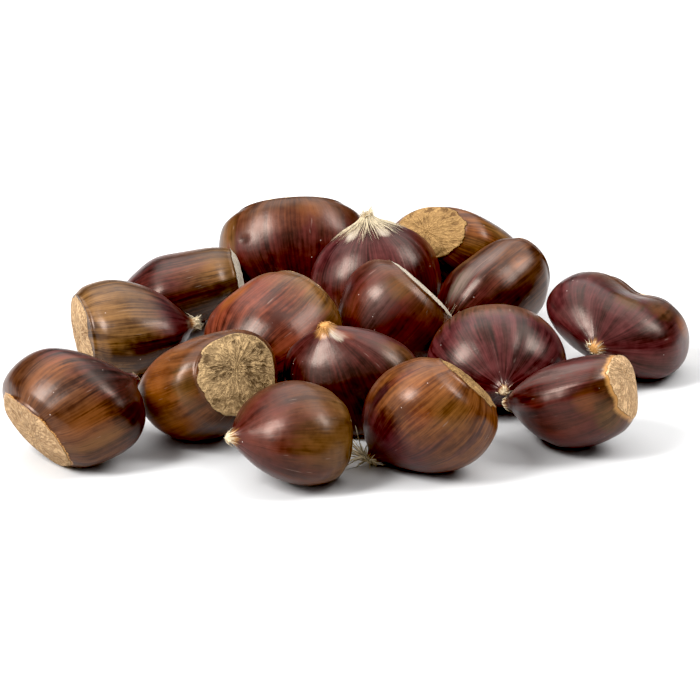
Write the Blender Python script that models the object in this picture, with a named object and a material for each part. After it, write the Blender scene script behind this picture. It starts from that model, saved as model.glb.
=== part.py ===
"""A loose heap of whole sweet chestnuts, lying in one layer on the ground.

Each chestnut is one closed solid. In its own axes Z runs from the pale scar at the base up to
the pointed tip, X runs across the broad face, and Y runs through it, towards the domed side.
"""
import math
from collections import namedtuple

import bmesh
import bpy
from mathutils import Matrix, Vector

MM = 0.001

# Facets of one chestnut: sides round it, and rings in each stretch of its outline
SIDES = 24
RINGS_IN_STRETCH = (1, 1, 0, 2, 3, 3, 2, 2, 1, 1, 1, 1)

# Form that all the chestnuts share
CENTRE_HEIGHT = 0.42      # height of a chestnut's centre above its scar, as a share of its height
ROUNDNESS = 2 / 2.2       # 1 is an ellipse in section, less is squarer
REST_SPOT_DEPTH = 0.3     # mm that the ground flattens off the underside
CUT_TOLERANCE = 0.0001    # mm
ACROSS_DEEPER = 0.12      # the scar is this much fuller through the chestnut than across it
SCAR_FILL_MAX = 0.95

# place: mm, seen from above. size: mm across the broad face, through it, and from scar to tip.
# turn: degrees; where the tip points seen from above, how far it points up, and the roll
# about the chestnut's own axis, with the domed side up at 0.
# dome: share of the thickness on the domed side. scar: its width as a share of the chestnut's.
# shoulder: fullness of the upper half. lean: how far the tip bends aside, as a share of the width.
# edge: how sharp the two side edges are, from 1, rounded.
Nut = namedtuple("Nut", "place size turn dome scar shoulder lean edge tone")

SOFT_EDGE = 1.12
CLEAR_EDGE = 1.28

HEAP = (
    Nut((-69.5, -40.5), (36.5, 26.0, 28.5), (38, 26, 19), 0.60, 0.63, 1.05, -0.17, SOFT_EDGE, "brown"),
    Nut((-58.0, 16.0), (34.0, 24.0, 29.0), (18, 3, 2), 0.50, 0.70, 0.96, -0.16, CLEAR_EDGE, "olive"),
    Nut((-44.0, 43.5), (31.0, 19.5, 35.5), (184, -14, 17), 0.50, 0.63, 1.14, -0.03, CLEAR_EDGE, "olive"),
    Nut((-36.0, -28.0), (34.5, 25.5, 33.5), (127, -29, -7), 0.40, 0.65, 1.11, 0.0, SOFT_EDGE, "amber"),
    Nut((-20.0, 4.0), (34.0, 26.5, 34.5), (230, -18, -2), 0.55, 0.73, 1.07, -0.03, SOFT_EDGE, "russet"),
    Nut((-15.0, 64.5), (41.0, 26.5, 29.0), (276, -50, 7), 0.56, 0.72, 1.0, 0.02, SOFT_EDGE, "maroon"),
    Nut((6.5, 43.0), (35.5, 26.0, 30.5), (155, 80, -59), 0.57, 0.70, 1.02, -0.02, SOFT_EDGE, "maroon"),
    Nut((11.0, 13.5), (32.5, 26.0, 27.5), (202, -43, -64), 0.57, 0.70, 0.95, 0.03, SOFT_EDGE, "brown"),
    Nut((1.5, -22.5), (35.0, 24.0, 27.5), (219, 72, -141), 0.58, 0.70, 1.03, 0.12, SOFT_EDGE, "maroon"),
    Nut((-14.0, -55.0), (32.0, 24.0, 29.0), (204, 9, -7), 0.59, 0.58, 1.0, -0.03, SOFT_EDGE, "brown"),
    Nut((21.5, -50.0), (31.5, 30.5, 31.0), (198, -46, -23), 0.60, 0.54, 1.02, -0.25, SOFT_EDGE, "amber"),
    Nut((37.5, -8.5), (36.0, 25.5, 30.0), (274, 1, 1), 0.58, 0.69, 1.02, 0.0, SOFT_EDGE, "maroon"),
    Nut((55.5, -34.5), (29.0, 23.0, 33.5), (161, -21, 16), 0.30, 0.58, 1.04, -0.06, CLEAR_EDGE, "russet"),
    Nut((68.5, 15.0), (39.5, 23.5, 31.0), (246, 5, -21), 0.61, 0.73, 1.03, 0.03, SOFT_EDGE, "maroon"),
    Nut((37.0, 36.0), (23.5, 25.5, 33.5), (227, -18, -35), 0.59, 0.73, 1.07, -0.03, SOFT_EDGE, "brown"),
    Nut((27.5, 65.5), (36.0, 21.5, 33.5), (51, -41, -14), 0.50, 0.60, 1.07, -0.09, SOFT_EDGE, "amber"),
)

# The kidney-shaped chestnut has a furrow along its domed side, deepest at the scar
KIDNEY = 14
FURROW_ANGLE = 96         # degrees round the chestnut, from X towards the domed side
FURROW_WIDTH = 36         # degrees
FURROW_DEPTH = 0.42       # share of the radius
FURROW_FADES = (0.15, 0.95)  # heights between which the furrow runs out

# Shell colours: base colour (linear) and roughness
TONES = {
    "maroon": ((0.065, 0.012, 0.011), 0.28),
    "brown": ((0.090, 0.025, 0.012), 0.28),
    "russet": ((0.120, 0.024, 0.013), 0.30),
    "olive": ((0.120, 0.050, 0.020), 0.30),
    "amber": ((0.180, 0.070, 0.022), 0.30),
}


def remove_objects():
    for item in list(bpy.data.objects):
        bpy.data.objects.remove(item)


def outline(nut):
    """Half outline from scar to tip: height, half width and half thickness as shares.

    The scar's edge stands twice, which makes it a crisp corner of the smooth curve.
    """
    wide = nut.scar
    deep = min(SCAR_FILL_MAX, nut.scar + ACROSS_DEEPER)
    full = nut.shoulder
    return (
        Vector((-0.030, 0.0, 0.0)),
        Vector((-0.022, 0.62 * wide, 0.62 * deep)),
        Vector((0.012, wide, deep)),
        Vector((0.012, wide, deep)),
        Vector((0.130, (1 + wide) / 2 + 0.07, (1 + deep) / 2 + 0.04)),
        Vector((0.360, 1.0, 1.0)),
        Vector((0.580, 0.93 * full, 0.90 * full)),
        Vector((0.760, 0.73 * full, 0.66 * full)),
        Vector((0.885, 0.42 * full, 0.38 * full)),
        Vector((0.945, 0.20, 0.21)),
        Vector((0.985, 0.105, 0.13)),
        Vector((1.020, 0.07, 0.09)),
        Vector((1.030, 0.0, 0.0)),
    )


def smooth_curve(points, steps):
    """Points of a Catmull-Rom curve through the given points."""
    first = 2 * points[0] - points[1]
    last = 2 * points[-1] - points[-2]
    knots = (first, *points, last)
    curve = []
    for index, count in enumerate(steps):
        before, start, end, after = knots[index:index + 4]
        for step in range(count):
            t = step / count
            curve.append(
                start
                + (end - before) * (t / 2)
                + (2 * before - 5 * start + 4 * end - after) * (t * t / 2)
                + (3 * start - before - 3 * end + after) * (t ** 3 / 2)
            )
    curve.append(points[-1])
    return curve


def signed_power(value, power):
    return math.copysign(abs(value) ** power, value)


def furrow(height, angle):
    """Share of the radius that is left where the furrow of the kidney-shaped chestnut runs."""
    start, end = FURROW_FADES
    fade = 1 - min(max((height - start) / (end - start), 0.0), 1.0)
    aside = (math.degrees(angle) - FURROW_ANGLE + 180) % 360 - 180
    return 1 - FURROW_DEPTH * fade * math.exp(-(aside / FURROW_WIDTH) ** 2)


def surface_point(nut, share, angle, is_kidney):
    """Point of the shell in the chestnut's own axes, in mm, from its centre."""
    height, half_width, half_depth = share
    width, depth, tall = nut.size
    radius = furrow(height, angle) if is_kidney else 1.0
    across = signed_power(math.cos(angle), ROUNDNESS) * half_width * radius * width / 2
    through = signed_power(math.sin(angle), ROUNDNESS * nut.edge) * half_depth * radius * depth
    through *= nut.dome if through > 0 else 1 - nut.dome
    across += nut.lean * width * max(height, 0.0) ** 2
    return Vector((across, through, (height - CENTRE_HEIGHT) * tall))


def turning(nut):
    """Rotation from the chestnut's own axes to the ground's."""
    heading, pitch, roll = (math.radians(angle) for angle in nut.turn)
    tip = Vector((
        math.cos(pitch) * math.cos(heading),
        math.cos(pitch) * math.sin(heading),
        math.sin(pitch),
    ))
    upright = (Vector((0, 0, 1)) - tip * tip.z).normalized()
    dome = upright * math.cos(roll) + tip.cross(upright) * math.sin(roll)
    side = dome.cross(tip)
    return Matrix((side, dome, tip)).transposed()


def shell_mesh(name, nut, is_kidney, down):
    """Closed mesh of one chestnut with its rest spot cut, and the height of its centre in mm."""
    mesh = bmesh.new()
    rings = []
    curve = smooth_curve(outline(nut), RINGS_IN_STRETCH)
    for share in curve:
        at_end = share in (curve[0], curve[-1])
        count = 1 if at_end else SIDES
        angles = [2 * math.pi * side / SIDES for side in range(count)]
        rings.append([mesh.verts.new(surface_point(nut, share, angle, is_kidney)) for angle in angles])

    for low, high in zip(rings, rings[1:]):
        for side in range(SIDES):
            after = (side + 1) % SIDES
            if len(low) == 1:
                mesh.faces.new((low[0], high[after], high[side]))
            elif len(high) == 1:
                mesh.faces.new((low[side], low[after], high[0]))
            else:
                mesh.faces.new((low[side], low[after], high[after], high[side]))

    lowest = max(vertex.co.dot(down) for vertex in mesh.verts)
    centre_height = lowest - REST_SPOT_DEPTH
    cut = bmesh.ops.bisect_plane(
        mesh,
        geom=[*mesh.verts, *mesh.edges, *mesh.faces],
        dist=CUT_TOLERANCE,
        plane_co=down * centre_height,
        plane_no=down,
        clear_outer=True,
    )
    rim = [item for item in cut["geom_cut"] if isinstance(item, bmesh.types.BMEdge)]
    bmesh.ops.edgeloop_fill(mesh, edges=rim)
    bmesh.ops.scale(mesh, vec=(MM, MM, MM), verts=mesh.verts)

    data = bpy.data.meshes.new(name)
    mesh.to_mesh(data)
    mesh.free()
    data.shade_smooth()
    return data, centre_height


def shell_material(name, tone):
    colour, roughness = TONES[tone]
    material = bpy.data.materials.new(name)
    material.use_nodes = True
    surface = material.node_tree.nodes["Principled BSDF"]
    surface.inputs["Base Color"].default_value = (*colour, 1.0)
    surface.inputs["Roughness"].default_value = roughness
    surface.inputs["Metallic"].default_value = 0.0
    return material


def add_chestnut(number, nut):
    name = f"chestnut_{number:02d}"
    rotation = turning(nut)
    down = rotation.inverted() @ Vector((0, 0, -1))
    data, centre_height = shell_mesh(name, nut, number == KIDNEY, down)
    data.materials.append(shell_material(f"shell_{number:02d}", nut.tone))
    chestnut = bpy.data.objects.new(name, data)
    bpy.context.scene.collection.objects.link(chestnut)
    chestnut.location = Vector((*nut.place, centre_height)) * MM
    chestnut.rotation_euler = rotation.to_euler()
    return chestnut


def centre_heap(chestnuts):
    """Moves the heap so that the middle of its footprint is at the origin."""
    bpy.context.view_layer.update()
    corners = [item.matrix_world @ vertex.co for item in chestnuts for vertex in item.data.vertices]
    middle_x = (min(point.x for point in corners) + max(point.x for point in corners)) / 2
    middle_y = (min(point.y for point in corners) + max(point.y for point in corners)) / 2
    for item in chestnuts:
        item.location.x -= middle_x
        item.location.y -= middle_y


def main():
    remove_objects()
    chestnuts = [add_chestnut(number, nut) for number, nut in enumerate(HEAP, start=1)]
    centre_heap(chestnuts)


main()
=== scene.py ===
import math
from collections import namedtuple

import bpy
import numpy as np
from mathutils import Matrix, Vector


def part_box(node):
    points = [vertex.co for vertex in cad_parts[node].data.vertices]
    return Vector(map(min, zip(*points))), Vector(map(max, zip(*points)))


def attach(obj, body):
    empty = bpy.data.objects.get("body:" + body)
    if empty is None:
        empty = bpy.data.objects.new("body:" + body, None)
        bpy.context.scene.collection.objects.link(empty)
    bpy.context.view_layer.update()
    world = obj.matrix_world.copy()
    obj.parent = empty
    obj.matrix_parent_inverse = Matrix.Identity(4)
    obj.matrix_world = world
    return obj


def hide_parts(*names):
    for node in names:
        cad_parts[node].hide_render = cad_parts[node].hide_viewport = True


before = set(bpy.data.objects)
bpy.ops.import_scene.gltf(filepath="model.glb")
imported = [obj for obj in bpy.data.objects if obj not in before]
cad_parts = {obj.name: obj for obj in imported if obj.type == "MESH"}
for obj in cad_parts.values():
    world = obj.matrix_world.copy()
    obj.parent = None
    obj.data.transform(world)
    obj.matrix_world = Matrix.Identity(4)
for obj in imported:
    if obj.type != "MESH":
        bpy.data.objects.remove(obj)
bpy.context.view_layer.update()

MM = 0.001
UP = Vector((0, 0, 1))

# Finer mesh of one chestnut: sides round it, and rings in each stretch of its outline
SIDES = 168
RINGS_IN_STRETCH = (14, 8, 0, 12, 14, 14, 12, 10, 6, 5, 4, 4)

# Form that all the chestnuts share, as in the solids
CENTRE_HEIGHT = 0.42      # height of a chestnut's centre above its scar, as a share of its height
ROUNDNESS = 2 / 2.2       # 1 is an ellipse in section, less is squarer
ACROSS_DEEPER = 0.12      # the scar is this much fuller through the chestnut than across it
SCAR_FILL_MAX = 0.95
RIM_KNOT = 2              # knot of the outline at the scar's edge

SOFT_EDGE = 1.12
CLEAR_EDGE = 1.28

KIDNEY = 14
FURROW_ANGLE = 96
FURROW_WIDTH = 36
FURROW_DEPTH = 0.42
FURROW_FADES = (0.15, 0.95)

# Relief that every shell has, in mm, all of it inwards, so that neighbours keep their gaps
SWELL_DEPTH = 0.30
RIB_DEPTH = 0.10
FINE_RIB_DEPTH = 0.04
SCAR_DEPTH = 0.50

# Rows from scar to tip, and columns round the chestnut, of that relief's random tables
SWELL_GRID = (3, 5)
RIB_GRID = (2, 26)
FINE_RIB_GRID = (3, 70)
PIT_GRID = (7, 40)
PIT_PATCH_GRID = (1, 9)
PIT_REPEATS = 12
RIM_FADE_ROWS = 3         # rows beside the scar's edge over which all relief fades out

# size: mm across the broad face, through it, and from scar to tip.
# turn: degrees; where the tip points seen from above, how far it points up, and the roll
# about the chestnut's own axis, with the domed side up at 0.
# dome: share of the thickness on the domed side. scar: the scar's width as a share of the
# chestnut's. shoulder: how full the upper half is. lean: how far the tip stands aside, as a
# share of the width. edge: how clear the edges along the two narrow sides are.
Form = namedtuple("Form", "size turn dome scar shoulder lean edge")

# zones: colours near the scar, in the middle and near the tip. changes: heights of those changes.
# scar: colour of the scar. tip: colour of the tip, and how far it reaches in mm.
# streaks: how strongly the fine streaks show.
Looks = namedtuple("Looks", "slot zones changes scar tip reach streaks")

# Shell colours, darkest and lightest streaks, linear
SHELL = {
    "amber": ((0.052, 0.014, 0.004), (0.205, 0.070, 0.018)),
    "olive": ((0.042, 0.017, 0.005), (0.170, 0.082, 0.026)),
    "brown": ((0.024, 0.006, 0.002), (0.118, 0.041, 0.014)),
    "russet": ((0.040, 0.006, 0.003), (0.165, 0.036, 0.017)),
    "maroon": ((0.014, 0.0022, 0.002), (0.088, 0.017, 0.014)),
    "plum": ((0.014, 0.0025, 0.003), (0.092, 0.021, 0.022)),
}

# Scar colours, lightest and darkest, and how strongly its fibres and its dark dashes show
SCARS = {
    "tan": ((0.76, 0.50, 0.27), (0.20, 0.10, 0.040), 0.65, 0.65),
    # Second entry: the tan scar made about a third darker, painted shade for the scars of chestnuts 1
    # and 2, which face the left lamp
    "husk": ((0.54, 0.355, 0.19), (0.16, 0.080, 0.032), 0.65, 0.65),
    "gold": ((0.39, 0.23, 0.088), (0.12, 0.060, 0.021), 0.45, 0.75),
    "pale": ((0.58, 0.52, 0.43), (0.28, 0.215, 0.14), 0.45, 0.35),
    "furry": ((0.51, 0.34, 0.165), (0.075, 0.044, 0.019), 0.60, 0.75),
}

TIPS = {
    "straw": (0.60, 0.45, 0.22),
    "gold": (0.52, 0.26, 0.08),
    "cream": (0.74, 0.62, 0.42),
    "grey": (0.50, 0.43, 0.34),
}

HEAP = {
    # Chestnuts 1 and 2 take the darker copy of the tan scar colour: painted shade
    1: (Form((36.5, 26.0, 28.5), (38, 26, 19), 0.60, 0.63, 1.05, -0.17, SOFT_EDGE),
        Looks("shell_brown", ("brown", "brown", "maroon"), (0.25, 0.52), "husk", "straw", 0.3, 0.9)),
    2: (Form((34.0, 24.0, 29.0), (18, 3, 2), 0.50, 0.70, 0.96, -0.16, CLEAR_EDGE),
        Looks("shell_olive", ("olive", "olive", "maroon"), (0.22, 0.62), "husk", "cream", 2.0, 0.9)),
    3: (Form((31.0, 19.5, 35.5), (184, -14, 17), 0.50, 0.63, 1.14, -0.03, CLEAR_EDGE),
        Looks("shell_olive", ("olive", "brown", "maroon"), (0.18, 0.42), "pale", "straw", 1.5, 0.8)),
    4: (Form((34.5, 25.5, 33.5), (127, -29, -7), 0.40, 0.65, 1.11, 0.0, SOFT_EDGE),
        Looks("shell_amber", ("brown", "amber", "russet"), (0.15, 0.60), "furry", "straw", 1.5, 0.6)),
    5: (Form((34.0, 26.5, 34.5), (230, -18, -2), 0.55, 0.73, 1.07, -0.03, SOFT_EDGE),
        Looks("shell_russet", ("olive", "russet", "russet"), (0.15, 0.60), "tan", "straw", 1.5, 0.9)),
    6: (Form((41.0, 26.5, 29.0), (276, -50, 7), 0.56, 0.72, 1.0, 0.02, SOFT_EDGE),
        Looks("shell_maroon", ("brown", "maroon", "maroon"), (0.22, 0.60), "tan", "straw", 1.5, 0.7)),
    7: (Form((35.5, 26.0, 30.5), (155, 80, -59), 0.57, 0.70, 1.02, -0.02, SOFT_EDGE),
        Looks("shell_maroon", ("brown", "maroon", "plum"), (0.30, 0.65), "tan", "straw", 1.5, 0.8)),
    8: (Form((32.5, 26.0, 27.5), (202, -43, -64), 0.57, 0.70, 0.95, 0.03, SOFT_EDGE),
        Looks("shell_brown", ("brown", "maroon", "maroon"), (0.14, 0.58), "pale", "straw", 1.5, 0.7)),
    9: (Form((35.0, 24.0, 27.5), (219, 72, -141), 0.58, 0.70, 1.03, 0.12, SOFT_EDGE),
        Looks("shell_maroon", ("brown", "maroon", "maroon"), (0.20, 0.50), "tan", "gold", 2.6, 0.5)),
    10: (Form((32.0, 24.0, 29.0), (204, 9, -7), 0.59, 0.58, 1.0, -0.03, SOFT_EDGE),
         Looks("shell_brown", ("olive", "brown", "maroon"), (0.20, 0.62), "tan", "cream", 2.2, 0.45)),
    11: (Form((31.5, 30.5, 31.0), (198, -46, -23), 0.60, 0.54, 1.02, -0.25, SOFT_EDGE),
         Looks("shell_amber", ("amber", "amber", "maroon"), (0.25, 0.62), "gold", "grey", 2.5, 0.8)),
    12: (Form((36.0, 25.5, 30.0), (274, 1, 1), 0.58, 0.69, 1.02, 0.0, SOFT_EDGE),
         Looks("shell_maroon", ("brown", "plum", "plum"), (0.20, 0.60), "tan", "cream", 1.1, 0.9)),
    13: (Form((29.0, 23.0, 33.5), (161, -21, 16), 0.30, 0.58, 1.04, -0.06, CLEAR_EDGE),
         Looks("shell_russet", ("brown", "maroon", "maroon"), (0.14, 0.32), "tan", "cream", 1.6, 0.7)),
    14: (Form((39.5, 23.5, 31.0), (246, 5, -21), 0.61, 0.73, 1.03, 0.03, SOFT_EDGE),
         Looks("shell_maroon", ("brown", "maroon", "plum"), (0.30, 0.55), "tan", "gold", 2.2, 0.6)),
    15: (Form((23.5, 25.5, 33.5), (227, -18, -35), 0.59, 0.73, 1.07, -0.03, SOFT_EDGE),
         Looks("shell_brown", ("brown", "brown", "maroon"), (0.18, 0.50), "tan", "straw", 1.5, 0.9)),
    16: (Form((36.0, 21.5, 33.5), (51, -41, -14), 0.50, 0.60, 1.07, -0.09, SOFT_EDGE),
         Looks("shell_amber", ("amber", "olive", "brown"), (0.25, 0.60), "gold", "straw", 1.5, 1.0)),
}

# How far a scar's colour runs past its edge, in mm, and how strongly that edge is lobed
SCAR_SPILL = {1: 1.0, 4: 1.0, 13: 0.2, 16: 0.5}
PLAIN_SPILL = -0.3
SCAR_LOBES = 3.4

# Share of dark patches on a scar
SCAR_PATCHES = {1: 0.25, 2: 0.45, 4: 0.45, 13: 0.1, 16: 0.40}
PLAIN_PATCHES = 0.2

# Side to which a scar's colour draws back, in degrees, and by how much, in mm
SCAR_SHIFT = {1: (112, 2.0), 2: (150, 1.8), 4: (30, 1.0), 11: (90, 0.8)}

# Width of a golden ring round a scar, in mm
GOLD_RINGS = {1: 0.5, 13: 1.8}

# Coloured marks on a shell: height and angle in degrees of the middle, half height, half width
# in degrees, colour, and how strongly it shows. Most are the shell's own colour; those noted
# below are painted shade or painted sheen.
Mark = namedtuple("Mark", "height angle tall wide colour share")
MARK_COLOURS = {
    "dark": ((0.006, 0.002, 0.0015), (0.030, 0.008, 0.005)),
    "purple": ((0.014, 0.003, 0.005), (0.062, 0.015, 0.018)),
    "amber": ((0.090, 0.024, 0.005), (0.330, 0.100, 0.020)),
    "ochre": ((0.065, 0.027, 0.007), (0.235, 0.108, 0.028)),
    "olive": ((0.030, 0.014, 0.004), (0.120, 0.062, 0.016)),
    "rust": ((0.060, 0.009, 0.004), (0.210, 0.042, 0.014)),
    "silk": ((0.340, 0.270, 0.190), (0.760, 0.690, 0.580)),
    "gold": ((0.280, 0.110, 0.030), (0.600, 0.310, 0.100)),
    # grey: a painted sheen on chestnuts 8 and 13, and a pale silky streak on chestnut 15
    "grey": ((0.110, 0.075, 0.065), (0.300, 0.230, 0.205)),
}
MARKS = {
    1: (Mark(0.42, 82, 0.30, 9, "amber", 0.42), Mark(0.24, 101, 0.24, 7, "dark", 0.60),
        Mark(0.30, 140, 0.30, 15, "amber", 0.25), Mark(0.30, 160, 0.30, 8, "ochre", 0.5),
        Mark(0.74, 140, 0.26, 75, "dark", 0.90)),
    # Chestnut 2's two dark marks at -172 and 165 degrees are painted shade on its lower part, where the
    # light falls off
    2: (Mark(0.10, 166, 0.14, 10, "ochre", 0.8), Mark(0.12, 118, 0.16, 26, "ochre", 0.35),
        Mark(0.78, 150, 0.16, 60, "purple", 0.6), Mark(0.02, 135, 0.03, 22, "dark", 0.6),
        Mark(0.50, -172, 0.42, 28, "dark", 0.85), Mark(0.50, 165, 0.22, 9, "dark", 0.45)),
    3: (Mark(0.12, 30, 0.12, 20, "ochre", 0.5), Mark(0.20, -20, 0.30, 30, "dark", 0.55),
        Mark(0.62, 20, 0.16, 60, "dark", 0.4)),
    4: (Mark(0.38, 24, 0.14, 26, "amber", 0.70), Mark(0.10, 10, 0.07, 34, "olive", 0.6),
        Mark(0.32, -36, 0.14, 9, "amber", 0.45), Mark(0.22, -75, 0.25, 24, "dark", 0.6)),
    5: (Mark(0.08, 48, 0.14, 30, "ochre", 0.8), Mark(0.45, 118, 0.16, 9, "amber", 0.7),
        Mark(0.86, 80, 0.18, 60, "dark", 0.7), Mark(0.40, 84, 0.30, 3, "dark", 0.5),
        Mark(0.36, 70, 0.16, 22, "dark", 0.15)),
    6: (Mark(0.30, 150, 0.20, 13, "ochre", 0.75), Mark(0.16, 74, 0.08, 10, "amber", 0.35),
        Mark(0.39, 128, 0.035, 5, "dark", 0.7), Mark(0.24, 100, 0.10, 30, "rust", 0.3)),
    7: (Mark(0.905, 47, 0.040, 14, "silk", 0.85), Mark(0.895, 116, 0.036, 12, "silk", 0.80),
        Mark(0.50, 160, 0.30, 24, "rust", 0.40)),
    # Chestnut 8's grey mark is a painted reflection: a greyish sheen over its middle
    8: (Mark(0.15, 110, 0.11, 14, "ochre", 0.45), Mark(0.50, 135, 0.25, 14, "rust", 0.35),
        Mark(0.40, 112, 0.24, 16, "grey", 0.16)),
    9: (Mark(0.955, 132, 0.042, 24, "silk", 0.80), Mark(0.965, 76, 0.03, 24, "gold", 0.55),
        Mark(0.935, 150, 0.04, 20, "rust", 0.6), Mark(0.62, 170, 0.14, 20, "ochre", 0.5),
        Mark(0.62, 90, 0.14, 80, "dark", 0.60)),
    10: (Mark(0.36, 28, 0.24, 24, "ochre", 0.45), Mark(0.42, 79, 0.30, 3.5, "dark", 0.55),
         Mark(0.05, 0, 0.08, 30, "ochre", 0.35), Mark(0.80, 60, 0.14, 60, "rust", 0.3),
         Mark(0.50, -10, 0.30, 14, "purple", 0.4)),
    11: (Mark(0.53, 102, 0.13, 5, "purple", 0.9), Mark(0.30, 80, 0.14, 12, "amber", 0.6),
         Mark(0.24, 42, 0.12, 16, "ochre", 0.45), Mark(0.36, 10, 0.20, 3.5, "purple", 0.7),
         Mark(0.76, 80, 0.14, 50, "purple", 0.8), Mark(0.55, 30, 0.20, 4, "purple", 0.6),
         Mark(0.30, 100, 0.12, 5, "rust", 0.5), Mark(0.45, 60, 0.10, 9, "rust", 0.4)),
    12: (Mark(0.62, 101, 0.10, 9, "dark", 0.6), Mark(0.60, 70, 0.10, 7, "dark", 0.6),
         Mark(0.30, 75, 0.14, 50, "ochre", 0.30), Mark(0.72, 125, 0.2, 3, "dark", 0.5),
         Mark(0.75, 86, 0.2, 2.5, "dark", 0.5), Mark(0.75, 58, 0.2, 2.5, "dark", 0.5)),
    # Chestnut 13's grey mark is a painted sheen on its upper side, of the light from above and behind
    13: (Mark(0.20, -21, 0.09, 12, "amber", 0.45), Mark(0.10, -50, 0.09, 22, "olive", 0.7),
         Mark(0.42, 24, 0.34, 2.5, "dark", 0.65), Mark(0.36, 38, 0.34, 2.0, "dark", 0.55),
         Mark(0.50, 46, 0.34, 15, "grey", 0.30), Mark(0.55, -40, 0.3, 14, "rust", 0.25)),
    14: (Mark(0.55, 88, 0.11, 13, "olive", 0.7), Mark(0.27, 38, 0.11, 10, "amber", 0.65),
         Mark(0.40, 62, 0.14, 11, "ochre", 0.40), Mark(0.72, 100, 0.16, 3, "dark", 0.5),
         Mark(0.72, 130, 0.2, 3, "dark", 0.5), Mark(0.60, 48, 0.25, 10, "dark", 0.4)),
    15: (Mark(0.26, 86, 0.09, 8, "amber", 0.70), Mark(0.70, 126, 0.14, 11, "silk", 0.22),
         Mark(0.45, 118, 0.24, 11, "grey", 0.40), Mark(0.60, 50, 0.28, 26, "dark", 0.65),
         Mark(0.55, 103, 0.30, 3, "dark", 0.5)),
    16: (Mark(0.14, 170, 0.14, 12, "amber", 0.8), Mark(0.15, -140, 0.18, 16, "dark", 0.5),
         Mark(0.12, -165, 0.10, 12, "ochre", 0.5), Mark(0.42, 138, 0.2, 16, "purple", 0.4),
         Mark(0.26, 156, 0.13, 12, "ochre", 0.8), Mark(0.20, 165, 0.14, 6, "dark", 0.4)),
}

# Shallow hollows of a shell: height and angle in degrees of the middle, half height, half width
# in degrees, and depth in mm, which is below 0 for a bump
Dent = namedtuple("Dent", "height angle tall wide depth")
DENTS = {
    1: (Dent(0.45, 104, 0.40, 6, 0.20), Dent(0.45, 134, 0.40, 7, 0.15)),
    2: (Dent(0.35, 120, 0.30, 17, 0.55), Dent(0.30, 176, 0.25, 15, 0.50)),
    5: (Dent(0.35, 70, 0.25, 9, 0.25), Dent(0.30, 100, 0.25, 9, 0.25)),
    6: (Dent(0.38, 128, 0.045, 5, 0.38), Dent(0.30, 110, 0.20, 8, 0.20)),
    12: (Dent(0.75, 101, 0.22, 6, 0.25), Dent(0.75, 72, 0.22, 5, 0.20)),
    13: (Dent(0.38, 26, 0.36, 15, 0.45), Dent(0.42, -14, 0.26, 9, -1.10),
         Dent(0.42, -13, 0.05, 8, 0.25)),
    14: (Dent(0.80, 75, 0.10, 18, 0.30),),
    15: (Dent(0.50, 122, 0.30, 15, 0.50), Dent(0.55, 84, 0.25, 8, 0.20)),
}

# View of the photo
VIEW_TARGET = Vector((-0.0009, -0.0048, 0.0117))
VIEW_ELEVATION = 22
VIEW_DISTANCE = 1.2
VIEW_LENS = 240.7
VIEW_SENSOR = 36


def knots_of(form):
    """Half outline from scar to tip: height, half width and half thickness as shares."""
    wide = form.scar
    deep = min(SCAR_FILL_MAX, form.scar + ACROSS_DEEPER)
    full = form.shoulder
    return np.array((
        (-0.030, 0.0, 0.0),
        (-0.022, 0.62 * wide, 0.62 * deep),
        (0.012, wide, deep),
        (0.012, wide, deep),
        (0.130, (1 + wide) / 2 + 0.07, (1 + deep) / 2 + 0.04),
        (0.360, 1.0, 1.0),
        (0.580, 0.93 * full, 0.90 * full),
        (0.760, 0.73 * full, 0.66 * full),
        (0.885, 0.42 * full, 0.38 * full),
        (0.945, 0.20, 0.21),
        (0.985, 0.105, 0.13),
        (1.020, 0.07, 0.09),
        (1.030, 0.0, 0.0),
    ))


def smooth_curve(points, steps):
    """Points of a Catmull-Rom curve through the given points."""
    knots = np.concatenate(([2 * points[0] - points[1]], points, [2 * points[-1] - points[-2]]))
    curve = []
    for index, count in enumerate(steps):
        before, start, end, after = knots[index:index + 4]
        for step in range(count):
            t = step / count
            curve.append(
                start
                + (end - before) * (t / 2)
                + (2 * before - 5 * start + 4 * end - after) * (t * t / 2)
                + (3 * start - before - 3 * end + after) * (t ** 3 / 2)
            )
    curve.append(points[-1])
    return np.array(curve)


def signed_power(value, power):
    return np.copysign(np.abs(value) ** power, value)


def smooth_step(value, low, high):
    share = np.clip((value - low) / (high - low), 0, 1)
    return share * share * (3 - 2 * share)


def soft_noise(draw, heights, angles, rows, columns):
    """Smooth random values from 0 to 1 over height and round the nut."""
    table = draw.random((rows + 1, columns))
    down = np.clip(heights, 0, 1) * rows
    row = np.minimum(down.astype(int), rows - 1)
    down = smooth_step(down - row, 0, 1)
    across = (angles / (2 * np.pi)) % 1 * columns
    column = across.astype(int) % columns
    across = smooth_step(across - across.astype(int), 0, 1)
    after = (column + 1) % columns
    low = table[row, column] * (1 - across) + table[row, after] * across
    high = table[row + 1, column] * (1 - across) + table[row + 1, after] * across
    return low * (1 - down) + high * down


def furrow(height, angle):
    """Share of the radius that is left where the furrow of the kidney-shaped chestnut runs."""
    start, end = FURROW_FADES
    fade = 1 - np.clip((height - start) / (end - start), 0, 1)
    aside = (np.degrees(angle) - FURROW_ANGLE + 180) % 360 - 180
    return 1 - FURROW_DEPTH * fade * np.exp(-(aside / FURROW_WIDTH) ** 2)


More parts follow.
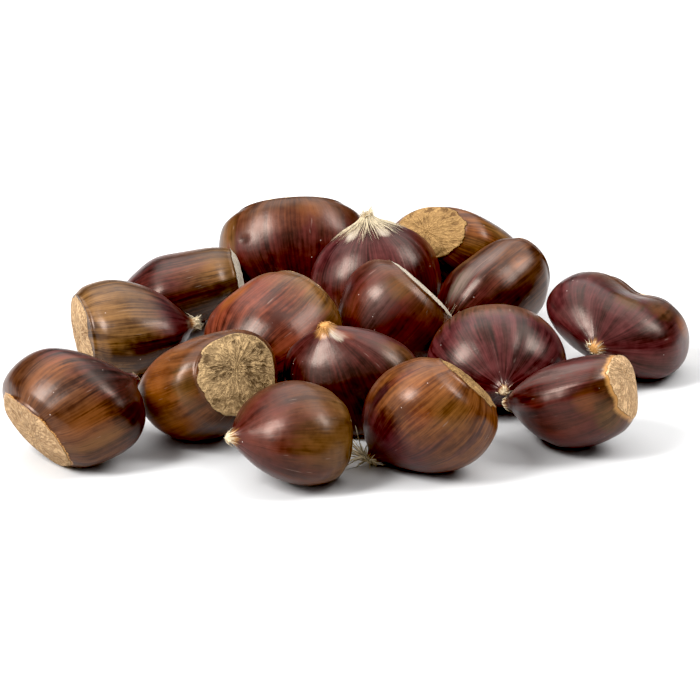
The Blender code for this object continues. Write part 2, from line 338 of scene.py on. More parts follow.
def shell_points(form, outline, angles, is_kidney):
    """Points of the shell in the chestnut's own axes, in mm, from its centre."""
    height, half_width, half_depth = outline[..., 0], outline[..., 1], outline[..., 2]
    width, depth, tall = form.size
    radius = furrow(height, angles) if is_kidney else 1.0
    across = signed_power(np.cos(angles), ROUNDNESS) * half_width * radius * width / 2
    through = signed_power(np.sin(angles), ROUNDNESS * form.edge) * half_depth * radius * depth
    through = through * np.where(through > 0, form.dome, 1 - form.dome)
    across = across + form.lean * width * np.maximum(height, 0) ** 2
    up = (height - CENTRE_HEIGHT) * tall
    return np.stack((across, through, up), axis=-1)


def normals_of(points):
    along = np.gradient(points, axis=0)
    aside = np.roll(points, -1, axis=1) - np.roll(points, 1, axis=1)
    normal = np.cross(aside, along)
    return normal / np.maximum(np.linalg.norm(normal, axis=-1, keepdims=True), 1e-9)


def turning(form):
    """Rotation from the chestnut's own axes to the ground's."""
    heading, pitch, roll = (math.radians(angle) for angle in form.turn)
    tip = Vector((
        math.cos(pitch) * math.cos(heading),
        math.cos(pitch) * math.sin(heading),
        math.sin(pitch),
    ))
    upright = (UP - tip * tip.z).normalized()
    dome = upright * math.cos(roll) + tip.cross(upright) * math.sin(roll)
    side = dome.cross(tip)
    return Matrix((side, dome, tip)).transposed()


def relief(draw, height, angle, in_scar):
    """Depth of the shell's unevenness in mm, everywhere 0 or more."""
    swell = soft_noise(draw, height, angle, *SWELL_GRID)
    ribs = soft_noise(draw, height, angle, *RIB_GRID)
    fine_ribs = soft_noise(draw, height, angle, *FINE_RIB_GRID)
    shell = SWELL_DEPTH * swell + RIB_DEPTH * ribs + FINE_RIB_DEPTH * fine_ribs
    pits = soft_noise(draw, height * PIT_REPEATS % 1, angle, *PIT_GRID)
    pits = pits * soft_noise(draw, height, angle, *PIT_PATCH_GRID)
    return np.where(in_scar, SCAR_DEPTH * pits, shell)


def hollows(dents, height, angle):
    """Depth of a chestnut's own hollows in mm."""
    depth = np.zeros(height.shape)
    for dent in dents:
        aside = (np.degrees(angle) - dent.angle + 180) % 360 - 180
        reach = ((height - dent.height) / dent.tall) ** 2 + (aside / dent.wide) ** 2
        depth = depth + dent.depth * np.exp(-reach)
    return depth


class Nut:
    """One chestnut: its fine mesh, and where that stands in the heap."""

    def __init__(self, number):
        self.number = number
        self.node = f"chestnut_{number:02d}"
        self.form, self.looks = HEAP[number]
        self.is_kidney = number == KIDNEY
        self.draw = np.random.default_rng(number)
        self.rotation = turning(self.form)
        self.build()

    def build(self):
        outline = smooth_curve(knots_of(self.form), RINGS_IN_STRETCH)
        self.outline = outline
        rings = outline[1:-1]
        angles = np.arange(SIDES) * 2 * np.pi / SIDES
        angle = np.broadcast_to(angles, (len(rings), SIDES))
        height = np.broadcast_to(rings[:, :1], angle.shape)
        profile = np.broadcast_to(rings[:, None], (*angle.shape, 3))
        grid = shell_points(self.form, profile, angle, self.is_kidney)
        rim_row = sum(RINGS_IN_STRETCH[:RIM_KNOT]) - 1
        row = np.arange(len(rings))[:, None]
        depth = relief(self.draw, height, angle, row < rim_row)
        depth = depth + hollows(DENTS.get(self.number, ()), height, angle)
        depth = depth * smooth_step(np.abs(row - rim_row), 0, RIM_FADE_ROWS)
        grid = grid - normals_of(grid) * depth[..., None]

        steps = np.linalg.norm(np.diff(grid, axis=0), axis=-1)
        walked = np.concatenate((np.zeros((1, SIDES)), np.cumsum(steps, axis=0)))
        rim = walked - walked[rim_row]
        tip = walked[-1] - walked

        bottom = shell_points(self.form, outline[0], np.array(0.0), self.is_kidney)
        top = shell_points(self.form, outline[-1], np.array(0.0), self.is_kidney)
        self.points = np.concatenate(([bottom], grid.reshape(-1, 3), [top]))
        self.grain = self.with_poles(
            np.stack((np.cos(angle), np.sin(angle), rim), axis=-1).reshape(-1, 3),
            (0, 0, rim[0].mean()), (0, 0, rim[-1].mean()),
        )
        self.height = self.with_poles(height.reshape(-1), outline[0][0], outline[-1][0])
        self.tip = self.with_poles(tip.reshape(-1), tip[0].mean(), 0.0)
        self.rings = len(rings)
        self.settle()

    @staticmethod
    def with_poles(values, first, last):
        return np.concatenate(([first], values, [last]))

    def settle(self):
        """Lays the chestnut where its solid is, flat where the ground meets it."""
        turn = np.array(self.rotation)
        world = self.points * MM @ turn.T
        low, high = (np.array(corner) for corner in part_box(self.node))
        middle = (world.min(0) + world.max(0)) / 2
        offset = (low + high) / 2 - middle
        offset[2] = high[2] - world[:, 2].max()
        world = world + offset
        world[:, 2] = np.maximum(world[:, 2], low[2])
        self.world = world
        self.offset = offset

    def in_frame(self, points):
        """Points of the chestnut's own axes, in mm, as points of the frame, in metres."""
        return points * MM @ np.array(self.rotation).T + self.offset

    def faces(self):
        last = 1 + self.rings * SIDES
        side = np.arange(SIDES)
        after = (side + 1) % SIDES
        faces = [(0, 1 + b, 1 + a) for a, b in zip(side.tolist(), after.tolist())]
        for ring in range(self.rings - 1):
            here = 1 + ring * SIDES
            there = here + SIDES
            faces += zip(
                (here + side).tolist(), (here + after).tolist(),
                (there + after).tolist(), (there + side).tolist(),
            )
        here = last - SIDES
        faces += zip((here + side).tolist(), (here + after).tolist(), [last] * SIDES)
        return faces

    def shell(self):
        mesh = bpy.data.meshes.new(f"{self.node}_shell")
        mesh.from_pydata(self.world.tolist(), [], self.faces())
        mesh.shade_smooth()
        store(mesh, "grain", "FLOAT_VECTOR", "vector", self.grain)
        store(mesh, "place", "FLOAT_VECTOR", "vector", self.points)
        store(mesh, "height", "FLOAT", "value", self.height)
        store(mesh, "tip", "FLOAT", "value", self.tip)
        mesh.materials.append(shell_material(self.number, self.looks))
        piece = bpy.data.objects.new(f"{self.node}_shell", mesh)
        bpy.context.scene.collection.objects.link(piece)
        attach(piece, "root")
        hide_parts(self.node)


def store(mesh, name, kind, field, values):
    attribute = mesh.attributes.new(name, kind, "POINT")
    attribute.data.foreach_set(field, np.ascontiguousarray(values, np.float32).ravel())


class Shader:
    """The nodes of one material, with short calls that add them."""

    def __init__(self, name):
        self.material = bpy.data.materials.new(name)
        self.material.use_nodes = True
        self.tree = self.material.node_tree
        self.surface = self.tree.nodes["Principled BSDF"]

    def add(self, kind, **settings):
        node = self.tree.nodes.new(kind)
        for name, value in settings.items():
            setattr(node, name, value)
        return node

    def put(self, socket, value):
        if isinstance(value, bpy.types.NodeSocket):
            self.tree.links.new(value, socket)
        else:
            socket.default_value = value

    def attribute(self, name, output="Fac"):
        return self.add("ShaderNodeAttribute", attribute_name=name).outputs[output]

    def math(self, operation, first, second=0.0, clamp=False):
        node = self.add("ShaderNodeMath", operation=operation, use_clamp=clamp)
        self.put(node.inputs[0], first)
        self.put(node.inputs[1], second)
        return node.outputs[0]

    def scaled(self, vector, scale):
        node = self.add("ShaderNodeVectorMath", operation="MULTIPLY")
        self.put(node.inputs[0], vector)
        self.put(node.inputs[1], scale)
        return node.outputs[0]

    def added(self, first, second):
        node = self.add("ShaderNodeVectorMath", operation="ADD")
        self.put(node.inputs[0], first)
        self.put(node.inputs[1], second)
        return node.outputs[0]

    def dot(self, vector, way):
        node = self.add("ShaderNodeVectorMath", operation="DOT_PRODUCT")
        self.put(node.inputs[0], vector)
        self.put(node.inputs[1], way)
        return node.outputs["Value"]

    def weighted(self, *terms):
        """Sum of noises, each measured from its middle and times its weight."""
        total = -sum(weight for _, weight in terms) / 2
        for value, weight in terms:
            node = self.add("ShaderNodeMath", operation="MULTIPLY_ADD")
            self.put(node.inputs[0], value)
            node.inputs[1].default_value = weight
            self.put(node.inputs[2], total)
            total = node.outputs[0]
        return total

    def blend(self, share, first, second):
        node = self.add("ShaderNodeMix")
        self.put(node.inputs[0], share)
        self.put(node.inputs[2], first)
        self.put(node.inputs[3], second)
        return node.outputs[0]

    def mix(self, share, first, second):
        node = self.add("ShaderNodeMix", data_type="RGBA")
        self.put(node.inputs[0], share)
        self.put(node.inputs[6], first)
        self.put(node.inputs[7], second)
        return node.outputs[2]

    def between(self, value, low, high):
        """0 below low and 1 above high, smooth between them; low may be the higher one."""
        node = self.add("ShaderNodeMapRange", interpolation_type="SMOOTHSTEP")
        self.put(node.inputs["Value"], value)
        backwards = low > high
        node.inputs["From Min"].default_value = min(low, high)
        node.inputs["From Max"].default_value = max(low, high)
        node.inputs["To Min"].default_value = 1.0 if backwards else 0.0
        node.inputs["To Max"].default_value = 0.0 if backwards else 1.0
        return node.outputs[0]

    def noise(self, vector, seed, detail=2.0, distortion=0.0, output="Fac"):
        node = self.add("ShaderNodeTexNoise", noise_dimensions="4D")
        self.put(node.inputs["Vector"], vector)
        node.inputs["W"].default_value = seed
        node.inputs["Scale"].default_value = 1.0
        node.inputs["Detail"].default_value = detail
        node.inputs["Distortion"].default_value = distortion
        return node.outputs[output]

    def ramp(self, value, stops):
        node = self.add("ShaderNodeValToRGB")
        self.put(node.inputs[0], value)
        elements = node.color_ramp.elements
        while len(elements) < len(stops):
            elements.new(0.5)
        for element, (place, colour) in zip(elements, stops):
            element.position = place
            element.color = (*colour, 1.0)
        return node.outputs[0]

    def bump(self, height, depth, normal=None):
        """Relief of the given depth in mm."""
        node = self.add("ShaderNodeBump")
        node.inputs["Strength"].default_value = 1.0
        node.inputs["Distance"].default_value = depth * MM
        self.put(node.inputs["Height"], height)
        if normal is not None:
            self.put(node.inputs["Normal"], normal)
        return node.outputs[0]


SHELL_ROUGHNESS = 0.31
LEAST_ROUGHNESS = 0.285
SHELL_SPECULAR = 0.40
GLOSS_TINT = (1.0, 0.78, 0.67, 1.0)
SCAR_ROUGHNESS = 0.85
FUZZ_ROUGHNESS = 0.70
SEED_STEP = 7.3

# Finest relief, in mm
STREAK_RELIEF = 0.022
MOTTLE_RELIEF = 0.05
FIBRE_RELIEF = 0.010
SCAR_RELIEF = 0.40
SCAR_STEP = 0.12

# Noise along the grain: cells round the chestnut in a radian, and along it in a mm
WARP_SCALE = (1.6, 1.6, 0.07)
BAND_SCALE = (2.4, 2.4, 0.045)
STREAK_SCALE = (9.0, 9.0, 0.040)
FIBRE_SCALE = (34.0, 34.0, 0.075)
SCRATCH_SCALE = (22.0, 22.0, 0.20)
DASH_SCALE = (6.5, 6.5, 0.45)
STRAND_SCALE = (13.0, 13.0, 0.55)
WAVE_SCALE = (4.5, 4.5, 0.0)
LOBE_SCALE = (1.7, 1.7, 0.0)

# Noise that is the same every way: cells in a mm
PATCH_SCALE = (0.09, 0.09, 0.09)
MOTTLE_SCALE = (0.55, 0.55, 0.55)
SPECK_SCALE = (0.36, 0.36, 0.36)
SWIRL_SCALE = (0.5, 0.5, 0.5)
BLOTCH_SCALE = (0.24, 0.24, 0.24)
FINE_SCALE = (2.2, 2.2, 2.2)
INNER_DASH_SCALE = (0.9, 0.9, 0.9)

# How far the grain wanders on the shell and on the scar: radians round the chestnut, mm along it
SHELL_WARP = (0.14, 0.14, 0.0)
SCAR_SWIRL = (0.30, 0.30, 1.2)

# How much each noise turns the shell from its dark streaks to its light ones, and the middle
BAND_WEIGHT = 1.2
STREAK_WEIGHT = 2.3
FIBRE_WEIGHT = 2.4
MOTTLE_WEIGHT = 0.9
PATCH_WEIGHT = 0.6
LIGHT_SHARE = 0.42

# Things that lie over the shell: their colours, and how strongly they show
SCRATCH_COLOUR = (0.55, 0.42, 0.34, 1)
SCRATCH_SHARE = 0.16
SPECK_COLOUR = (0.72, 0.60, 0.54, 1)
SPECK_SHARE = 0.6
LINE_COLOUR = (0.030, 0.012, 0.005, 1)
LINE_SHARE = 0.45
RING_SHARE = 0.8
TIP_RING_SHARE = 0.55
FELT_SHARE = 0.9
TIP_UNEVENNESS = 5.0
MARK_REACH = 1.9

# Scar: mm from its middle where its fibres begin to run outwards, and where they all do
INNER_SCAR = 1.2
OUTER_SCAR = 4.0
BORDER_SHARE = 0.3

# Noises of one chestnut, and the places on its mesh that they are taken from
Noises = namedtuple(
    "Noises", "seed straight place height tip rim grain patches bands streaks fibres mottle")


def noises_of(shader, number):
    seed = number * SEED_STEP
    straight = shader.attribute("grain", "Vector")
    place = shader.attribute("place", "Vector")
    axes = shader.add("ShaderNodeSeparateXYZ")
    shader.put(axes.inputs[0], straight)
    warp = shader.noise(shader.scaled(straight, WARP_SCALE), seed + 10, 1.0, output="Color")
    grain = shader.added(straight, shader.scaled(warp, SHELL_WARP))
    return Noises(
        seed=seed,
        straight=straight,
        place=place,
        height=shader.attribute("height"),
        tip=shader.attribute("tip"),
        rim=axes.outputs[2],
        grain=grain,
        patches=shader.noise(shader.scaled(place, PATCH_SCALE), seed, 2.0),
        bands=shader.noise(shader.scaled(grain, BAND_SCALE), seed + 1, 2.0),
        streaks=shader.noise(shader.scaled(grain, STREAK_SCALE), seed + 2, 4.0),
        fibres=shader.noise(shader.scaled(grain, FIBRE_SCALE), seed + 3, 3.0),
        mottle=shader.noise(shader.scaled(place, MOTTLE_SCALE), seed + 11, 4.0),
    )


def with_marks(shader, number, noises, dark, light):
    """Dark and light streaks of the shell, coloured where the chestnut's marks are."""
    ragged = shader.weighted((noises.streaks, 3.4), (noises.fibres, 2.2), (noises.mottle, 1.6))
    for mark in MARKS[number]:
        middle = math.radians(mark.angle)
        aside = shader.dot(noises.straight, (math.cos(middle), math.sin(middle), 0.0))
        turn = 1 / (1 - math.cos(math.radians(mark.wide)))
        aside = shader.math("MULTIPLY", shader.math("SUBTRACT", 1.0, aside), turn)
        along = shader.math("SUBTRACT", noises.height, mark.height)
        along = shader.math("MULTIPLY", along, 1 / mark.tall)
        reach = shader.math("ADD", aside, shader.math("MULTIPLY", along, along))
        reach = shader.math("ADD", reach, ragged)
        share = shader.math("MULTIPLY", shader.between(reach, MARK_REACH, 0.0), mark.share)
        mark_dark, mark_light = MARK_COLOURS[mark.colour]
        dark = shader.mix(share, dark, (*mark_dark, 1))
        light = shader.mix(share, light, (*mark_light, 1))
    return dark, light


def streaked_shell(shader, number, looks, noises):
    """Colour of the shell with its zones, marks and streaks."""
    wobble = shader.weighted((noises.patches, 0.5), (noises.streaks, 0.35))
    zone = shader.math("ADD", noises.height, wobble)
    low_change, high_change = looks.changes
    stops = (
        max(0.0, low_change - 0.12),
        (low_change + high_change) / 2,
        min(1.0, high_change + 0.15),
    )
    pairs = [SHELL[name] for name in looks.zones]
    dark = shader.ramp(zone, [(stop, pair[0]) for stop, pair in zip(stops, pairs)])
    light = shader.ramp(zone, [(stop, pair[1]) for stop, pair in zip(stops, pairs)])
    dark, light = with_marks(shader, number, noises, dark, light)
    streaky = shader.weighted(
        (noises.bands, BAND_WEIGHT),
        (noises.streaks, STREAK_WEIGHT * looks.streaks),
        (noises.fibres, FIBRE_WEIGHT * looks.streaks),
        (noises.mottle, MOTTLE_WEIGHT),
        (noises.patches, PATCH_WEIGHT),
    )
    return shader.mix(shader.math("ADD", streaky, LIGHT_SHARE, clamp=True), dark, light)


def with_scratches(shader, noises, shell):
    """The shell with a few fine light scratches along its grain."""
    scratches = shader.noise(shader.scaled(noises.grain, SCRATCH_SCALE), noises.seed + 4, 1.0)
    share = shader.math("MULTIPLY", shader.between(scratches, 0.71, 0.78), SCRATCH_SHARE)
    return shader.mix(share, shell, SCRATCH_COLOUR)


def with_tip(shader, looks, noises, shell):
    """The shell with the pale felt of its tip and a golden ring below, and the felt's share."""
    uneven = shader.math("MULTIPLY", shader.math("SUBTRACT", noises.streaks, 0.5), TIP_UNEVENNESS)
    way = shader.math("ADD", noises.tip, uneven)
    felt = shader.between(way, looks.reach, looks.reach * 0.35)
    ring = shader.between(way, looks.reach * 1.6, looks.reach * 0.7)
    shell = shader.mix(shader.math("MULTIPLY", ring, TIP_RING_SHARE), shell, (*TIPS["gold"], 1))
    shell = shader.mix(shader.math("MULTIPLY", felt, FELT_SHARE), shell, (*TIPS[looks.tip], 1))
    return shell, felt


def with_specks(shader, noises, shell):
    """The shell with single specks of dust."""
    cells = shader.add("ShaderNodeTexVoronoi")
    shader.put(cells.inputs["Vector"], shader.scaled(noises.place, SPECK_SCALE))
    cells.inputs["Scale"].default_value = 1.0
    chosen = shader.add("ShaderNodeSeparateColor")
    shader.put(chosen.inputs[0], cells.outputs["Color"])
    speck = shader.between(cells.outputs["Distance"], 0.060, 0.035)
    speck = shader.math("MULTIPLY", speck, shader.between(chosen.outputs[0], 0.70, 0.72))
    return shader.mix(shader.math("MULTIPLY", speck, SPECK_SHARE), shell, SPECK_COLOUR)


def with_seam(shader, number, noises, shell, edge):
    """The shell with a golden ring or a fine dark line round its scar."""
    if number in GOLD_RINGS:
        ring = shader.math("ADD", edge, shader.weighted((noises.fibres, 1.5)))
        ring = shader.between(ring, GOLD_RINGS[number], 0.3)
        return shader.mix(shader.math("MULTIPLY", ring, RING_SHARE), shell, (*TIPS["gold"], 1))
    line = shader.math("ABSOLUTE", shader.math("SUBTRACT", edge, 0.55))
    line = shader.between(line, 0.75, 0.10)
    line = shader.math("MULTIPLY", line, shader.between(noises.bands, 0.40, 0.60))
    return shader.mix(shader.math("MULTIPLY", line, LINE_SHARE), shell, LINE_COLOUR)


def scar_edge(shader, number, noises):
    """Way from the edge of the scar's colour in mm, below 0 on the scar."""
    wave = shader.noise(shader.scaled(noises.straight, WAVE_SCALE), noises.seed + 8, 5.0)
    lobes = shader.noise(shader.scaled(noises.straight, LOBE_SCALE), noises.seed + 14, 1.0)
    wave = shader.weighted((wave, 2.2), (lobes, SCAR_LOBES))
    past = shader.math("SUBTRACT", wave, SCAR_SPILL.get(number, PLAIN_SPILL))
    edge = shader.math("ADD", noises.rim, past)
    if number in SCAR_SHIFT:
        side, back = SCAR_SHIFT[number]
        side = math.radians(side)
        drawn = shader.dot(noises.straight, (math.cos(side) * back, math.sin(side) * back, 0.0))
        edge = shader.math("ADD", edge, drawn)
    return edge


def fibrous_scar(shader, number, looks, noises):
    """Colour of the scar with its fibres, dashes and patches, and how dark each spot is."""
    light, dark, fibre_share, dash_share = SCARS[looks.scar]
    seed = noises.seed
    place = noises.place
    swirl = shader.noise(shader.scaled(place, SWIRL_SCALE), seed + 13, 2.0, output="Color")
    turned = shader.added(noises.straight, shader.scaled(swirl, SCAR_SWIRL))
    middle = shader.add("ShaderNodeVectorMath", operation="LENGTH")
    shader.put(middle.inputs[0], shader.scaled(place, (1.0, 1.0, 0.0)))
    outer = shader.between(middle.outputs["Value"], INNER_SCAR, OUTER_SCAR)
    inner_dashes = shader.noise(shader.scaled(place, INNER_DASH_SCALE), seed + 5, 2.0, 0.6)
    outer_dashes = shader.noise(shader.scaled(turned, DASH_SCALE), seed + 12, 2.0, 0.5)
    dashes = shader.blend(outer, inner_dashes, outer_dashes)
    fine = shader.noise(shader.scaled(place, FINE_SCALE), seed + 7, 3.0)
    strands = shader.noise(shader.scaled(turned, STRAND_SCALE), seed + 9, 3.0, 0.4)
    threads = shader.blend(outer, fine, strands)
    blotches = shader.noise(shader.scaled(place, BLOTCH_SCALE), seed + 6, 3.0)
    dash = shader.between(dashes, 0.48, 0.38)
    dash = shader.math("MULTIPLY", dash, shader.between(blotches, 0.32, 0.54))
    thread = shader.between(shader.weighted((threads, 1.0), (fine, 0.35)), 0.14, -0.14)
    shade = shader.math("MULTIPLY", thread, fibre_share)
    shade = shader.math("MAXIMUM", shade, shader.math("MULTIPLY", dash, dash_share))
    patch = shader.between(blotches, 0.46, 0.72)
    patch = shader.math("MULTIPLY", patch, SCAR_PATCHES.get(number, PLAIN_PATCHES))
    shade = shader.math("ADD", shade, patch, clamp=True)
    return shader.mix(shade, (*light, 1), (*dark, 1)), shade


def shell_material(number, looks):
    """Glossy streaked shell, matt fibrous scar and pale tip, each where the mesh says."""
    shader = Shader(f"chestnut_{number:02d}_shell")
    noises = noises_of(shader, number)
    shell = streaked_shell(shader, number, looks, noises)
    shell = with_scratches(shader, noises, shell)
    shell, felt = with_tip(shader, looks, noises, shell)
    shell = with_specks(shader, noises, shell)

    scar, shade = fibrous_scar(shader, number, looks, noises)
    edge = scar_edge(shader, number, noises)
    in_scar = shader.between(edge, 0.15, -0.15)
    border = shader.between(shader.math("ABSOLUTE", shader.math("ADD", edge, 0.25)), 0.55, 0.10)
    border_colour = (*SCARS[looks.scar][0], 1)
    scar = shader.mix(shader.math("MULTIPLY", border, BORDER_SHARE), scar, border_colour)
    shell = with_seam(shader, number, noises, shell, edge)
    colour = shader.mix(in_scar, shell, scar)

    rough = shader.weighted((noises.streaks, 0.10), (noises.mottle, 0.16))
    rough = shader.math("ADD", SHELL_ROUGHNESS, rough)
    fuzz = shader.math("MULTIPLY", felt, FUZZ_ROUGHNESS - SHELL_ROUGHNESS)
    rough = shader.math("ADD", rough, fuzz)
    rough = shader.math("MAXIMUM", rough, shader.math("MULTIPLY", in_scar, SCAR_ROUGHNESS))
    rough = shader.math("MAXIMUM", rough, LEAST_ROUGHNESS)

    normal = None
    on_shell = shader.math("SUBTRACT", 1.0, in_scar)
    for noise, depth in (
        (noises.streaks, STREAK_RELIEF),
        (noises.mottle, MOTTLE_RELIEF),
        (noises.fibres, FIBRE_RELIEF),
    ):
        normal = shader.bump(shader.math("MULTIPLY", noise, on_shell), depth, normal)
    scar_height = shader.math("SUBTRACT", 1.0, shade)
    normal = shader.bump(shader.math("MULTIPLY", scar_height, in_scar), SCAR_RELIEF, normal)
    normal = shader.bump(in_scar, SCAR_STEP, normal)

    shader.surface.inputs["Specular IOR Level"].default_value = SHELL_SPECULAR
    shader.surface.inputs["Specular Tint"].default_value = GLOSS_TINT
    shader.put(shader.surface.inputs["Base Color"], colour)
    shader.put(shader.surface.inputs["Roughness"], rough)
    shader.put(shader.surface.inputs["Normal"], normal)
    return shader.material


# Tufts at the tips. spikes: stiff dry spikes that stand on the tip, their length in mm, and how
# they curl. down: fine short hairs round them. thatch: hairs that lie along the shell from the
# tip, and the height down to which they reach. sway: where the standing hairs lean, in the frame.
Tuft = namedtuple("Tuft", "spikes length curl down thatch reach colour sway")

UPRIGHT = (0, 0, 0)
PLAIN_TUFT = Tuft(4, 1.2, 0.4, 60, 0, 0.9, "straw", UPRIGHT)
TUFTS = {
    1: Tuft(1, 0.8, 0.4, 30, 0, 0.9, "straw", UPRIGHT),
    2: Tuft(6, 1.4, 0.7, 260, 20, 0.94, "cream", (0.4, 0, 0.2)),
    7: Tuft(9, 2.2, 0.6, 200, 340, 0.83, "cream", UPRIGHT),
    9: Tuft(0, 0.8, 0.2, 60, 50, 0.95, "gold", UPRIGHT),
    10: Tuft(2, 0.6, 0.3, 120, 30, 0.95, "cream", UPRIGHT),
    11: Tuft(34, 4.6, 1.8, 60, 20, 0.92, "cream", (-1.6, -0.8, 3.2)),
    12: Tuft(1, 0.4, 0.5, 14, 8, 0.96, "cream", (0.3, 0, 0.3)),
    13: Tuft(1, 0.5, 0.5, 20, 10, 0.95, "cream", UPRIGHT),
    14: Tuft(2, 1.0, 0.5, 24, 24, 0.95, "cream", (-3.0, 0, 0)),
    15: Tuft(4, 1.3, 0.4, 100, 90, 0.82, "cream", UPRIGHT),
}
# Widths at the root, and the least height above the ground, in mm
SPIKE_WIDTH = 0.75
HAIR_WIDTH = 0.11
THATCH_WIDTH = 1.3 * HAIR_WIDTH
HAIR_CLEARANCE = 0.05
HAIR_ROOT = 0.25
HAIR_STEPS = 7
HAIR_SIDES = 3


def hair_path_standing(nut, draw, length, curl, sway):
    """Curling path of a hair that stands on the tip, in the chestnut's own axes."""
    angle = draw.uniform(0, 2 * np.pi)
    height = draw.uniform(1.000, 1.028)
    root = surface_at(nut, height, angle)
    outward = np.array((np.cos(angle), np.sin(angle), 0)) * draw.uniform(0.0, 0.6)
    way = outward + np.array((0, 0, draw.uniform(0.4, 1.0)))
    way = way + np.array(sway) @ np.array(nut.rotation)
    way /= np.linalg.norm(way)
    bend = draw.normal(size=3) * curl
    share = np.linspace(0, 1, HAIR_STEPS)[:, None]
    return root - way * HAIR_ROOT + (way * share + bend * share ** 2 * 0.5) * length


def hair_path_lying(nut, draw, tuft):
    """Path of a hair that lies along the shell from the tip, in the chestnut's own axes."""
    angle = draw.uniform(0, 2 * np.pi)
    drift = draw.normal() * 0.10
    low = 1.0 - (1.0 - tuft.reach) * draw.uniform(0.35, 1.0)
    path = []
    for share in np.linspace(0, 1, HAIR_STEPS):
        height = 1.01 + (low - 1.01) * share
        lift = 0.08 + 0.35 * math.sin(math.pi * share) * draw.uniform(0.2, 1.0)
        point = surface_at(nut, height, angle + drift * share)
        out = point - surface_at(nut, height, angle + np.pi)
        path.append(point + out / max(np.linalg.norm(out), 1e-6) * lift)
    return np.array(path)


def surface_at(nut, height, angle):
    """Point of the smooth shell at a height and an angle."""
    upper = nut.outline[sum(RINGS_IN_STRETCH[:RIM_KNOT]):]
    half = [np.interp(height, upper[:, 0], upper[:, column]) for column in (1, 2)]
    return shell_points(nut.form, np.array((height, *half)), np.array(angle), nut.is_kidney)


def hair_mesh(path, width):
    """Vertices and faces of one tapering hair."""
    along = np.gradient(path, axis=0)
    along /= np.maximum(np.linalg.norm(along, axis=1, keepdims=True), 1e-9)
    guide = np.array((0.0, 0.0, 1.0)) if abs(along[0][2]) < 0.9 else np.array((1.0, 0.0, 0.0))
    first = np.cross(along, guide)
    first /= np.maximum(np.linalg.norm(first, axis=1, keepdims=True), 1e-9)
    second = np.cross(along, first)
    taper = width / 2 * (1 - 0.8 * np.linspace(0, 1, len(path)))[:, None]
    points = []
    for side in range(HAIR_SIDES):
        angle = 2 * math.pi * side / HAIR_SIDES
        points.append(path + (first * math.cos(angle) + second * math.sin(angle)) * taper)
    points = np.stack(points, axis=1).reshape(-1, 3)
    faces = [tuple(range(HAIR_SIDES))[::-1]]
    for ring in range(len(path) - 1):
        for side in range(HAIR_SIDES):
            here = ring * HAIR_SIDES
            after = (side + 1) % HAIR_SIDES
            there = here + HAIR_SIDES
            faces.append((here + side, here + after, there + after, there + side))
    last = (len(path) - 1) * HAIR_SIDES
    faces.append(tuple(last + side for side in range(HAIR_SIDES)))
    return points, faces


def hair_material():
    shader = Shader("tuft_hair")
    tone = shader.attribute("tone", "Vector")
    shader.put(shader.surface.inputs["Base Color"], tone)
    shader.surface.inputs["Roughness"].default_value = FUZZ_ROUGHNESS
    return shader.material


def add_tufts(nuts):
    """All the hairs of all the tips, as one mesh."""
    draw = np.random.default_rng(5)
    points = []
    faces = []
    tones = []
    count = 0
    for nut in nuts:
        tuft = TUFTS.get(nut.number, PLAIN_TUFT)
        hairs = []
        for spike in range(tuft.spikes):
            length = tuft.length * draw.uniform(0.7, 1.0)
            hairs.append((hair_path_standing(nut, draw, length, tuft.curl, tuft.sway), SPIKE_WIDTH))
        for hair in range(tuft.down):
            length = tuft.length * draw.uniform(0.3, 0.8)
            hairs.append((hair_path_standing(nut, draw, length, tuft.curl, tuft.sway), HAIR_WIDTH))
        for hair in range(tuft.thatch):
            hairs.append((hair_path_lying(nut, draw, tuft), THATCH_WIDTH))
        for path, width in hairs:
            hair, hair_faces = hair_mesh(path, width * draw.uniform(0.6, 1.3))
            world = nut.in_frame(hair)
            world[:, 2] = np.maximum(world[:, 2], HAIR_CLEARANCE * MM)
            points.append(world)
            faces += [tuple(count + corner for corner in face) for face in hair_faces]
            tone = np.array(TIPS[tuft.colour]) * draw.uniform(0.55, 1.25)
            tones.append(np.tile(tone, (len(hair), 1)))
            count += len(hair)
    mesh = bpy.data.meshes.new("tufts")
    mesh.from_pydata(np.concatenate(points).tolist(), [], faces)
    mesh.shade_smooth()
    store(mesh, "tone", "FLOAT_VECTOR", "vector", np.concatenate(tones))
    mesh.materials.append(hair_material())
    piece = bpy.data.objects.new("tufts", mesh)
    bpy.context.scene.collection.objects.link(piece)
    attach(piece, "root")


FLOOR_SIZE = 8.0
FLOOR_COLOURS = ((0.63, 0.63, 0.63, 1), (0.60, 0.60, 0.60, 1))
FLOOR_GRAIN = 0.05
FLOOR_ROUGHNESS = 0.9
FLOOR_SPECULAR = 0.1


def add_floor():
    shader = Shader("white_ground")
    grain = shader.noise(shader.add("ShaderNodeTexCoord").outputs["Object"], 0.0, 2.0)
    colour = shader.mix(shader.math("MULTIPLY", grain, FLOOR_GRAIN), *FLOOR_COLOURS)
    shader.put(shader.surface.inputs["Base Color"], colour)
    shader.surface.inputs["Roughness"].default_value = FLOOR_ROUGHNESS
    shader.surface.inputs["Specular IOR Level"].default_value = FLOOR_SPECULAR
    mesh = bpy.data.meshes.new("ground")
    half = FLOOR_SIZE / 2
    corners = ((-half, -half, 0), (half, -half, 0), (half, half, 0), (-half, half, 0))
    mesh.from_pydata(corners, [], [(0, 1, 2, 3)])
    mesh.materials.append(shader.material)
    floor = bpy.data.objects.new("ground", mesh)
    bpy.context.scene.collection.objects.link(floor)


def towards(azimuth, elevation):
    """Direction at an azimuth from the viewer's side, to the right, and a height, in degrees."""
    azimuth, elevation = math.radians(azimuth), math.radians(elevation)
    return Vector((
        math.sin(azimuth) * math.cos(elevation),
        -math.cos(azimuth) * math.cos(elevation),
        math.sin(elevation),
    ))


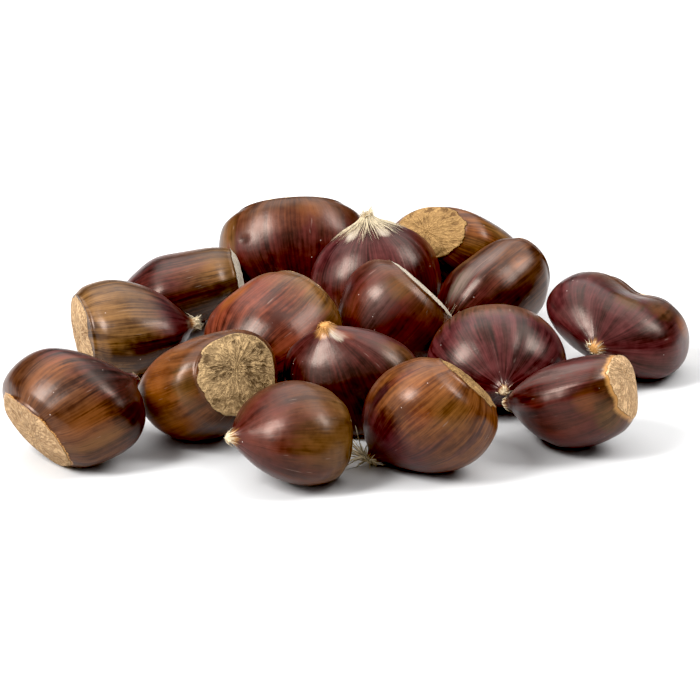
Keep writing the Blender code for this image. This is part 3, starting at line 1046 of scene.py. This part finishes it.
# Tall lamps: azimuth and elevation in degrees, width and height in metres, radiance
LAMPS = {
    "left_key": (-63, 43, 0.42, 0.74, 29.0),
    "right_key": (85, 48, 0.35, 0.58, 16.0),
}
LAMP_DISTANCE = 1.4

# Soft lights of the room: azimuth, elevation, angles from there where the light is full and
# where it ends, in degrees, and radiance
GLOWS = (
    (180, 84, 5, 45, 0.5),
    (-125, 60, 6, 28, 2.4),
    (118, 62, 6, 26, 3.0),
    (180, 45, 6, 32, 1.9),
    (0, 60, 10, 50, 0.5),
    (-72, 14, 6, 32, 1.5),
)
ROOM_RADIANCE = 0.07
BLACK_LEVEL = 0.015


def add_lights():
    """Two lamps in front of the heap, left and right; their radiance doesn't change with their size."""
    for name, (azimuth, elevation, width, height, radiance) in LAMPS.items():
        lamp = bpy.data.lights.new(name, "AREA")
        lamp.shape = "RECTANGLE"
        lamp.size = width
        lamp.size_y = height
        lamp.energy = radiance * math.pi * width * height
        item = bpy.data.objects.new(name, lamp)
        bpy.context.scene.collection.objects.link(item)
        way = towards(azimuth, elevation)
        item.location = VIEW_TARGET + way * LAMP_DISTANCE
        item.rotation_euler = way.to_track_quat("Z", "Y").to_euler()


def add_surroundings():
    """Dim room with soft lights above and behind the heap."""
    world = bpy.data.worlds.new("studio")
    world.use_nodes = True
    tree = world.node_tree
    way = tree.nodes.new("ShaderNodeTexCoord").outputs["Generated"]
    light = ROOM_RADIANCE
    for azimuth, elevation, full, end, radiance in GLOWS:
        dot = tree.nodes.new("ShaderNodeVectorMath")
        dot.operation = "DOT_PRODUCT"
        tree.links.new(way, dot.inputs[0])
        dot.inputs[1].default_value = towards(azimuth, elevation)
        glow = tree.nodes.new("ShaderNodeMapRange")
        glow.interpolation_type = "SMOOTHSTEP"
        tree.links.new(dot.outputs["Value"], glow.inputs["Value"])
        glow.inputs["From Min"].default_value = math.cos(math.radians(end))
        glow.inputs["From Max"].default_value = math.cos(math.radians(full))
        glow.inputs["To Max"].default_value = radiance
        total = tree.nodes.new("ShaderNodeMath")
        total.operation = "ADD"
        if isinstance(light, float):
            total.inputs[0].default_value = light
        else:
            tree.links.new(light, total.inputs[0])
        tree.links.new(glow.outputs[0], total.inputs[1])
        light = total.outputs[0]
    tree.links.new(light, tree.nodes["Background"].inputs["Strength"])
    tree.nodes["Background"].inputs["Color"].default_value = (1, 1, 1, 1)
    bpy.context.scene.world = world


def add_camera():
    """Camera at the photo's viewing angle."""
    elevation = math.radians(VIEW_ELEVATION)
    way = Vector((0, -math.cos(elevation), math.sin(elevation)))
    data = bpy.data.cameras.new("photo_view")
    data.lens = VIEW_LENS
    data.sensor_width = VIEW_SENSOR
    data.clip_end = 50
    camera = bpy.data.objects.new("photo_view", data)
    bpy.context.scene.collection.objects.link(camera)
    camera.location = VIEW_TARGET + way * VIEW_DISTANCE
    camera.rotation_euler = way.to_track_quat("Z", "Y").to_euler()
    bpy.context.scene.camera = camera


def set_tones():
    """Plain tones with deep blacks, as in a photo on white."""
    view = bpy.context.scene.view_settings
    view.view_transform = "Standard"
    view.use_curve_mapping = True
    view.curve_mapping.black_level = (BLACK_LEVEL, BLACK_LEVEL, BLACK_LEVEL)
    view.curve_mapping.update()


def main():
    set_tones()
    nuts = [Nut(number) for number in HEAP]
    for nut in nuts:
        nut.shell()
    add_tufts(nuts)
    add_floor()
    add_lights()
    add_surroundings()
    add_camera()


main()
bpy.context.view_layer.update()
